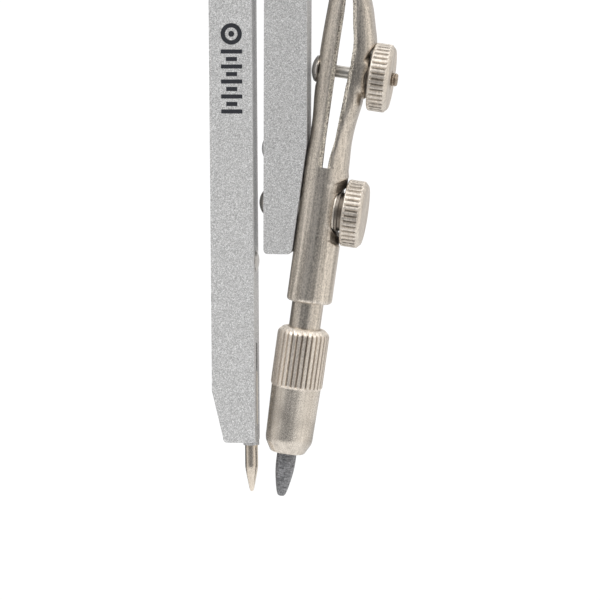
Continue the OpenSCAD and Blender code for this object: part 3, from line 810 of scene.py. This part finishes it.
def build_pen_screw():
    at = moved(INSERT, z=PEN_SCREW_Z)
    plain_end = 2.95
    shank = [(0, BLADE_FACE_X), (PEN_SCREW_R, BLADE_FACE_X), (PEN_SCREW_R, plain_end), (0, plain_end)]
    shank = lathe("pen_screw_shank", rounded(shank, 0.05), at, along_x=True)
    finish_piece(shank, STEEL, "insert", "dark_nickel")
    worn = [(0, 2.9), (0.62, 2.9)] + thread(THREAD_LOW, THREAD_HIGH) + [(0.6, 6.2), (0, 6.22)]
    finish_piece(lathe("pen_screw_thread", worn, at, along_x=True), THREAD, "insert", "dark_nickel")
    at_head = flipped_x(moved(at, x=BLADE_FACE_X))
    head = lathe("pen_screw_head", dome_profile(1.47, 0.3, 0.5), at_head, along_x=True)
    finish_piece(head, NICKEL_BRIGHT, "insert", "dark_nickel", "pen_screw")
    knurled_nut("pen_thumb_nut", at, "pen_nut", hub_x=2.83, rim_x=3.42, radius=3.65, neck_r=1.5,
                bore=0.95, blind=False)


# ---------------------------------------------------------------- needle and chuck

NEEDLE_R = 0.70
NEEDLE_STEM_R = 0.5
NEEDLE_SHOULDER = 13.0  # height of the needle's shoulder above its point

STEM_R = 1.7
STEM_BORE = 1.11
STEM_TOP = -4.7
STEM_LOW = -20.45

CAP_R = 2.8
CAP_BORE = 1.73
CAP_FLUTES = 32
CAP_TOP = -12.95
CAP_KNURL_TOP = -13.5
CAP_KNURL_LOW = -19.15
CAP_MOUTH = -26.65

LEAD_R = 1.05
LEAD_TOP = -10.45
LEAD_TIP = -31.45
FLAT_TOP = -27.65       # where the lead's two sharpened flats begin
FLAT_LENGTH = 3.8


def build_needle():
    low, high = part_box("needle")
    tip = Vector(((low.x + high.x) / 2 + math.sin(LEAN) * (high.z - low.z) / 2, 0, low.z))
    top = (high.z - low.z) / MM - 0.05
    profile = [(0, 0), (0.13, 0.02), (0.24, 0.25), (0.45, 1.3), (0.60, 2.05), (NEEDLE_R, 2.75),
               (NEEDLE_R, NEEDLE_SHOULDER), (NEEDLE_STEM_R, NEEDLE_SHOULDER + 0.3), (NEEDLE_STEM_R, top),
               (0, top)]
    needle = lathe("needle_body", rounded(profile, 0.15, 3), frame_matrix(tip, NEEDLE_LEG_X), segments=64)
    finish_piece(needle, NEEDLE_STEEL, "needle", "needle_steel", "needle")


def build_chuck_stem():
    outline = [(STEM_BORE, STEM_LOW), (STEM_R, STEM_LOW), (STEM_R, STEM_TOP), (STEM_BORE, STEM_TOP)]
    stem = lathe("chuck_stem", rounded(outline, 0.05, 2, closed=True), INSERT, closed=True, sharp_angle=30)
    finish_piece(stem, NICKEL, "insert", "nickel", "chuck_shank")


def build_chuck_cap():
    """The knurled cap, with a smooth nose below its knurl."""
    def wave(angle, h, r):
        band = smoothstep(CAP_KNURL_LOW - 0.19, CAP_KNURL_LOW - 0.03, h)
        band *= 1 - smoothstep(CAP_KNURL_TOP + 0.1, CAP_KNURL_TOP + 0.5, h)
        band *= smoothstep(2.2, 2.6, r)
        return r - KNURL_DEPTH * band * groove(angle, CAP_FLUTES, 0.78)

    inside = [(CAP_BORE, STEM_LOW), (2.0, STEM_LOW - 0.2), (2.0, -24.45), (1.2, -26.05), (1.2, CAP_MOUTH)]
    nose = [(1.82, CAP_MOUTH), (2.02, -26.3), (2.46, -25.5), (2.54, -25.1), (2.66, CAP_KNURL_LOW - 0.25)]
    knurl = [(2.74, CAP_KNURL_LOW - 0.15), (CAP_R, CAP_KNURL_LOW), (CAP_R, CAP_KNURL_TOP), (2.22, CAP_TOP),
             (CAP_BORE, CAP_TOP)]
    outline = rounded(inside + nose + knurl, 0.25, 3, closed=True)

    def knurled(start, end):
        return min(start[0], end[0]) > 2.1 and max(start[1], end[1]) > CAP_KNURL_LOW - 0.2

    cap = lathe("chuck_nose_cap", refined(outline, 0.15, knurled), INSERT, segments=CAP_FLUTES * 14,
                wave=wave, closed=True, sharp_angle=35)
    finish_piece(cap, NICKEL_CAP, "chuck_cap", "nickel", "chuck_cap")
    # The cap's knurl grooves get painted shade; the nose below gets its own nickel.
    for material in (NICKEL_GROOVE_SHADE, NICKEL_NOSE):
        cap.data.materials.append(material)
    paint_groove_shade(cap, CAP_FLUTES, CAP_KNURL_LOW, CAP_KNURL_TOP + 0.1, 2.4)
    for polygon in cap.data.polygons:
        if polygon.center.z < (CAP_KNURL_LOW - 0.3) * MM:
            polygon.material_index = 2


def build_lead():
    def facets(angle, h, r):
        """The sharpener leaves two flats, front and back, which meet the round lead in a V."""
        if h > FLAT_TOP:
            return r
        depth = LEAD_R - 0.40 * (FLAT_TOP - h) / FLAT_LENGTH
        across = abs(math.sin(angle))
        return min(r, depth / across) if across > 0.2 else r

    outline = [(0, LEAD_TIP), (0.30, LEAD_TIP + 0.02), (0.42, LEAD_TIP + 0.15), (0.55, LEAD_TIP + 0.5),
               (0.70, LEAD_TIP + 1.1), (0.86, LEAD_TIP + 1.9), (0.98, LEAD_TIP + 2.7),
               (1.04, LEAD_TIP + 3.4), (LEAD_R, LEAD_TIP + 4), (LEAD_R, LEAD_TOP), (0, LEAD_TOP)]
    lead = lathe("lead_stick", rounded(outline, 0.3, 3), INSERT, wave=facets, sharp_angle=28)
    finish_piece(lead, GRAPHITE, "lead", "graphite", "lead")


# ---------------------------------------------------------------- handle

GRIP_HALF = 6.0         # half the length of the grip's knurled part
GRIP_R = 3.25
GRIP_FLUTES = 36
GRIP_BORE = 1.52
FLANGE_R = 3.6
GRIP_NECK_R = 2.1


def build_handle():
    low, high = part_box("handle_grip")
    base = low.z / MM

    def wave(angle, h, r):
        band = smoothstep(0.3 - GRIP_HALF, 0.9 - GRIP_HALF, h)
        band *= 1 - smoothstep(GRIP_HALF - 0.9, GRIP_HALF - 0.3, h)
        band *= smoothstep(GRIP_R - 0.4, GRIP_R - 0.1, r)
        return r - KNURL_DEPTH * band * groove(angle, GRIP_FLUTES)

    bore = [(0, GRIP_HALF - 2), (GRIP_BORE, GRIP_HALF - 2), (GRIP_BORE, base)]
    flange = [(FLANGE_R, base), (FLANGE_R, base + 1.0), (2.7, base + 1.5), (GRIP_NECK_R, base + 2.2)]
    grip = [(GRIP_NECK_R, -GRIP_HALF - 0.9), (2.85, -GRIP_HALF - 0.4), (GRIP_R, -GRIP_HALF),
            (GRIP_R, GRIP_HALF), (2.9, GRIP_HALF + 0.75), (2.3, GRIP_HALF + 1.1), (0, high.z / MM)]
    outline = refined(rounded(bore + flange + grip, 0.3, 4), 0.3, lambda start, end: start[0] + end[0] > 0)
    piece = lathe("knurled_grip", outline, HANDLE, segments=GRIP_FLUTES * 12, wave=wave, sharp_angle=35)
    finish_piece(piece, NICKEL_PLAIN, "head", "nickel", "handle_grip")
    # Painted shade in the bottoms of the grip's knurl grooves.
    piece.data.materials.append(NICKEL_GROOVE_SHADE)
    paint_groove_shade(piece, GRIP_FLUTES, 0.7 - GRIP_HALF, GRIP_HALF - 0.7, GRIP_R - 0.35)


# ---------------------------------------------------------------- printed mark

PRINT_T = 0.006         # thickness of the ink
PRINT_GAP = 0.002       # between the ink's back and the leg's face
PRINT_X = 0.1           # the marks' centre line
RING_Z = -70.5
TICK_Z = -72.6          # the first tick
TICK_STEP = 0.8
TICK_H = 0.44


def plate(name, outline, matrix):
    """A thin printed shape on a leg's front face: outline in the leg's X and Z."""
    n = len(outline)
    verts = [(x, 0.0, z) for x, z in outline] + [(x, -PRINT_T, z) for x, z in outline]
    faces = [tuple(range(n - 1, -1, -1)), tuple(range(n, 2 * n))]
    for i in range(n):
        j = (i + 1) % n
        faces.append((i, j, j + n, i + n))
    return make_object(name, verts, faces, matrix, sharp_angle=30)


def disc(radius, x, z, steps=32):
    angles = [2 * math.pi * k / steps for k in range(steps)]
    return [(x + radius * math.cos(a), z + radius * math.sin(a)) for a in angles]


def ring_plate(name, inner, outer, matrix, x, z):
    """A printed ring."""
    steps = 48
    verts = []
    for inside, outside in zip(disc(inner, x, z, steps), disc(outer, x, z, steps)):
        for (px, pz), y in ((inside, 0.0), (outside, 0.0), (outside, -PRINT_T), (inside, -PRINT_T)):
            verts.append((px, y, pz))
    faces = []
    for k in range(steps):
        a = 4 * k
        b = 4 * ((k + 1) % steps)
        for i in range(4):
            j = (i + 1) % 4
            faces.append((a + i, b + i, b + j, a + j))
    return make_object(name, verts, faces, matrix, sharp_angle=30)


def build_print():
    """A generic row of drawing marks: a ring with a dot in it, and a scale of ticks under them."""
    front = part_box("needle_leg")[0].y / MM - PRINT_GAP
    at = moved(NEEDLE_LEG, y=front)
    pieces = [ring_plate("print_ring", 0.68, 1.15, at, PRINT_X, RING_Z),
              plate("print_ring_inner", disc(0.32, PRINT_X, RING_Z), at)]
    for k in range(9):
        half = (1.15, 0.6)[k % 2]
        z = TICK_Z - TICK_STEP * k
        left = PRINT_X - half
        right = PRINT_X + half
        outline = [(left, z), (right, z), (right, z + TICK_H), (left, z + TICK_H)]
        pieces.append(plate("print_tick_%d" % k, outline, at))
    for piece in pieces:
        finish_piece(piece, INK, "needle_arm", "silver_paint")


# ---------------------------------------------------------------- floor, light and camera

FLOOR_HALF = 0.15
FLOOR_DROP = 0.05       # how far the floor lies below the compass

# The surroundings' brightness by direction in degrees, where 0 is -Y and 90 is +X.
SURROUND = [
    (-180, 0.7), (-168, 0.65), (-150, 0.12), (-105, 0.08), (-86, 0.85), (-58, 0.80), (-42, 0.40),
    (-22, 0.25), (10, 0.23), (28, 0.32), (48, 1.0), (100, 1.0), (125, 0.8), (150, 0.75), (180, 0.7),
]
SKY = 1.6               # brightness of the light overhead
SKY_LOW = 0.45          # how steep a direction is where that light begins, and where it is full
SKY_HIGH = 0.85
BACKDROP = 1.05         # brightness of the white that the camera sees

CAMERA_AZIMUTH = math.radians(8.0)
CAMERA_ELEVATION = math.radians(6.0)
CAMERA_ROLL = math.radians(-0.1)
CAMERA_DISTANCE = 0.45
WIDTH_SEEN = 0.0645
SENSOR = 36
VIEW_X = 0.00424        # the picture's centre, across and above the needle's point
VIEW_RISE = 0.02087


def build_floor():
    z = CAD_BOX[0][2] - FLOOR_DROP
    corners = [(-FLOOR_HALF, -FLOOR_HALF, z), (FLOOR_HALF, -FLOOR_HALF, z),
               (FLOOR_HALF, FLOOR_HALF, z), (-FLOOR_HALF, FLOOR_HALF, z)]
    mesh = bpy.data.meshes.new("floor")
    mesh.from_pydata(corners, [], [(0, 1, 2, 3)])
    floor = bpy.data.objects.new("floor", mesh)
    bpy.context.scene.collection.objects.link(floor)
    material = bpy.data.materials.new("floor_white")
    material.use_nodes = True
    shader = material.node_tree.nodes["Principled BSDF"]
    shader.inputs["Base Color"].default_value = (0.75, 0.75, 0.75, 1)
    shader.inputs["Roughness"].default_value = 0.9
    floor.data.materials.append(material)


def surround_color(value):
    """A brightness as a colour: the bright parts warm, the dark parts cool."""
    warm = min(1.0, value)
    return (value * mix(0.95, 1.02, warm), value * 0.985, value * mix(1.05, 0.94, warm), 1)


def build_world():
    """A studio's surroundings: bright at the sides and above, dark behind the camera and in one corner."""
    world = bpy.data.worlds.new("studio")
    bpy.context.scene.world = world
    world.use_nodes = True
    tree = world.node_tree

    def node(kind, **settings):
        made = tree.nodes.new(kind)
        for name, value in settings.items():
            setattr(made, name, value)
        return made

    def spread(source, low, high):
        made = node("ShaderNodeMapRange")
        made.inputs["From Min"].default_value = low
        made.inputs["From Max"].default_value = high
        tree.links.new(source, made.inputs["Value"])
        return made.outputs["Result"]

    def blend(factor, color, brightness):
        """From a colour to a plain brightness."""
        made = node("ShaderNodeMix", data_type="RGBA")
        tree.links.new(factor, made.inputs[0])
        tree.links.new(color, made.inputs[6])
        made.inputs[7].default_value = (brightness, brightness, brightness, 1)
        return made.outputs[2]

    coords = node("ShaderNodeTexCoord")
    split = node("ShaderNodeSeparateXYZ")
    tree.links.new(coords.outputs["Generated"], split.inputs[0])
    back = node("ShaderNodeMath", operation="MULTIPLY")
    back.inputs[1].default_value = -1
    tree.links.new(split.outputs["Y"], back.inputs[0])
    turn = node("ShaderNodeMath", operation="ARCTAN2")
    tree.links.new(split.outputs["X"], turn.inputs[0])
    tree.links.new(back.outputs[0], turn.inputs[1])

    ramp = node("ShaderNodeValToRGB")
    elements = ramp.color_ramp.elements
    while len(elements) < len(SURROUND):
        elements.new(0.5)
    for element, (degrees, value) in zip(elements, SURROUND):
        element.position = (degrees + 180) / 360
        element.color = surround_color(value)
    tree.links.new(spread(turn.outputs[0], -math.pi, math.pi), ramp.inputs["Fac"])

    sky = blend(spread(split.outputs["Z"], SKY_LOW, SKY_HIGH), ramp.outputs["Color"], SKY)
    seen = node("ShaderNodeLightPath").outputs["Is Camera Ray"]
    background = tree.nodes["Background"]
    tree.links.new(blend(seen, sky, BACKDROP), background.inputs["Color"])
    background.inputs["Strength"].default_value = 1.0


def build_camera():
    target = Vector((VIEW_X, 0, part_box("needle")[0].z + VIEW_RISE))
    level = math.cos(CAMERA_ELEVATION)
    away = Vector((math.sin(CAMERA_AZIMUTH) * level, -math.cos(CAMERA_AZIMUTH) * level,
                   math.sin(CAMERA_ELEVATION)))
    data = bpy.data.cameras.new("camera")
    data.sensor_width = SENSOR
    data.lens = SENSOR * CAMERA_DISTANCE / WIDTH_SEEN
    data.clip_start = 0.01
    data.clip_end = 20
    camera = bpy.data.objects.new("camera", data)
    bpy.context.scene.collection.objects.link(camera)
    place = Matrix.Translation(target + away * CAMERA_DISTANCE)
    facing = (-away).to_track_quat("-Z", "Y").to_matrix().to_4x4()
    camera.matrix_world = place @ facing @ Matrix.Rotation(CAMERA_ROLL, 4, "Z")
    bpy.context.scene.camera = camera


def area_light(name, location, power):
    """A square soft light aimed at the lower part of the compass."""
    data = bpy.data.lights.new(name, "AREA")
    data.shape = "RECTANGLE"
    data.size = 0.5
    data.size_y = 0.5
    data.energy = power
    light = bpy.data.objects.new(name, data)
    bpy.context.scene.collection.objects.link(light)
    light.location = location
    aim = Vector((0, 0, -0.11)) - Vector(location)
    light.rotation_euler = aim.to_track_quat("-Z", "Y").to_euler()


def build_lights():
    area_light("key", (-0.45, -0.55, 0.6), 4.0)
    area_light("fill", (0.6, -0.4, 0.6), 2.0)


def build_view():
    view = bpy.context.scene.view_settings
    view.view_transform = "Standard"
    view.look = "None"
    view.exposure = 0.0


dress_cad()
build_insert()
build_clamp()
build_pen_screw()
build_needle()
build_chuck_stem()
build_chuck_cap()
build_lead()
build_handle()
build_print()
build_floor()
build_world()
build_lights()
build_camera()
build_view()
